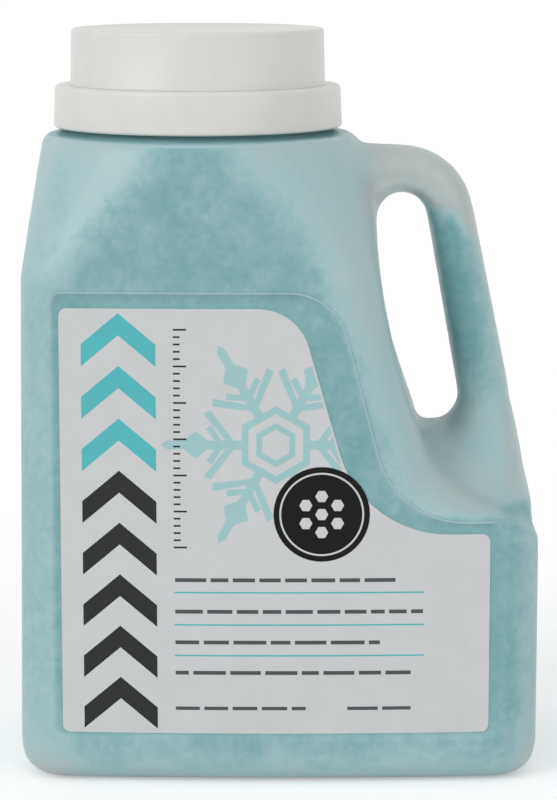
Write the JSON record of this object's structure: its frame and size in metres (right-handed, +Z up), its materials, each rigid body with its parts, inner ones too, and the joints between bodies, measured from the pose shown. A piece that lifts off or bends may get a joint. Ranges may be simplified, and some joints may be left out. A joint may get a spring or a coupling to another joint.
{
  "type": "handheld salt spreader",
  "caption": "Blow-moulded shaker jug with a through-handle, sunk label panel, screw-on sifter collar and screw overcap, filled with de-icing crystals.",
  "frame": {"origin": "middle of the base, on the surface that the jug stands on", "axes": "+Z up, -Y towards the labelled front, +X towards the handle"},
  "size_m": [0.2023, 0.124, 0.2892],
  "materials": {
    "jug": "natural HDPE, blow moulded, translucent satin",
    "crystals": "loose aqua-tinted salt crystals",
    "label": "printed film, satin",
    "closure": "white polypropylene, satin",
    "seal": "foamed polyethylene"
  },
  "bodies": {
    "jug": {"jug_body": "jug", "crystal_fill": "crystals", "front_label": "label"},
    "collar_seal": {"neck_gasket": "seal"},
    "collar": {"sifter_collar": "closure", "sifter_plate": "closure"},
    "cap_seal": {"overcap_liner": "seal"},
    "cap": {"overcap": "closure"}
  },
  "joints": [
    {"name": "collar_rise", "type": "slide", "parent": "jug", "child": "collar_seal", "axis": [0, 0, 1], "range_m": [0, 0.02]},
    {"name": "collar_turn", "type": "hinge", "parent": "collar_seal", "child": "collar", "pos_m": [-0.0317, 0, 0.2525], "axis": [0, 0, 1], "range_deg": [0, 720]},
    {"name": "cap_rise", "type": "slide", "parent": "collar", "child": "cap_seal", "axis": [0, 0, 1], "range_m": [0, 0.02]},
    {"name": "cap_turn", "type": "hinge", "parent": "cap_seal", "child": "cap", "pos_m": [-0.0317, 0, 0.2675], "axis": [0, 0, 1], "range_deg": [0, 720]}
  ],
  "couplings": [
    {"joint": "collar_rise", "follows": "collar_turn", "m_per_rad": 0.0015915},
    {"joint": "cap_rise", "follows": "cap_turn", "m_per_rad": 0.0015915}
  ]
}
